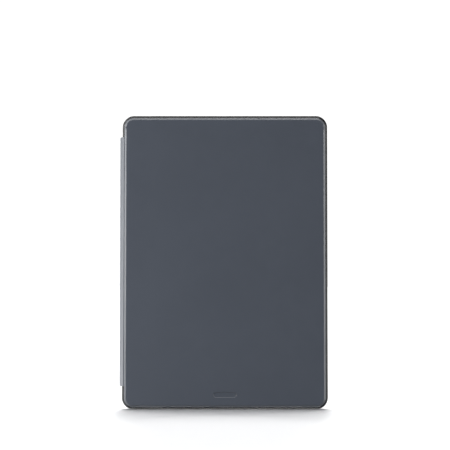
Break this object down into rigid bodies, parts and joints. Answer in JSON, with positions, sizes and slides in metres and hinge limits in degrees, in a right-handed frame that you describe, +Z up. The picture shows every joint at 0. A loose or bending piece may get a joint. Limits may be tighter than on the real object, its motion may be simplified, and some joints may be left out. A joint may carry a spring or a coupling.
{
  "type": "tablet case",
  "caption": "Folio case for a 10-inch class tablet: a rimmed tray, a folding spine strip and a stiffened magnetic front cover.",
  "frame": {"origin": "below the middle of the closed case, on the plane that its bottom edge stands on", "axes": "+Z up along the long side, the closed front cover faces -Y, the spine is at -X"},
  "size_m": [0.181, 0.014, 0.2553],
  "materials": {
    "cover_skin": "smooth matt covering with a very fine grain, anthracite",
    "spine_skin": "smooth matt covering with a very fine grain, anthracite",
    "lining": "short-napped felt",
    "board": "pressed fibre board",
    "bumper": "satin moulded elastomer",
    "back": "fine-textured moulded plastic",
    "tape": "translucent double-sided tape",
    "magnet": "nickel-plated"
  },
  "bodies": {
    "shell": {"back_plate": "back", "bumper_frame": "bumper", "camera_ring": "bumper", "tray_lining": "lining", "anchor_tape": "tape", "anchor_skin": "spine_skin"},
    "spine": {"spine_skin": "spine_skin", "spine_board": "board", "spine_lining": "lining"},
    "cover": {"cover_skin": "cover_skin", "cover_board": "board", "cover_lining": "lining", "closing_magnet_1": "magnet", "closing_magnet_2": "magnet", "closing_magnet_3": "magnet", "closing_magnet_4": "magnet", "wake_magnet": "magnet"},
    "volume_up": {"volume_up_button": "bumper"},
    "volume_down": {"volume_down_button": "bumper"},
    "power": {"power_button": "bumper"}
  },
  "joints": [
    {"name": "spine_fold", "type": "hinge", "parent": "shell", "child": "spine", "pos_m": [-0.08858, 0.0071, 0.1282], "axis": [0, 0, -1], "range_deg": [0, 178]},
    {"name": "cover_fold", "type": "hinge", "parent": "spine", "child": "cover", "pos_m": [-0.08643, -0.00575, 0.1282], "axis": [0, 0, -1], "range_deg": [0, 178]},
    {"name": "volume_up_press", "type": "slide", "parent": "shell", "child": "volume_up", "axis": [-1, 0, 0], "range_m": [0, 0.0004], "stiffness_N_per_m": 800},
    {"name": "volume_down_press", "type": "slide", "parent": "shell", "child": "volume_down", "axis": [-1, 0, 0], "range_m": [0, 0.0004], "stiffness_N_per_m": 800},
    {"name": "power_press", "type": "slide", "parent": "shell", "child": "power", "axis": [0, 0, -1], "range_m": [0, 0.0004], "stiffness_N_per_m": 800}
  ]
}
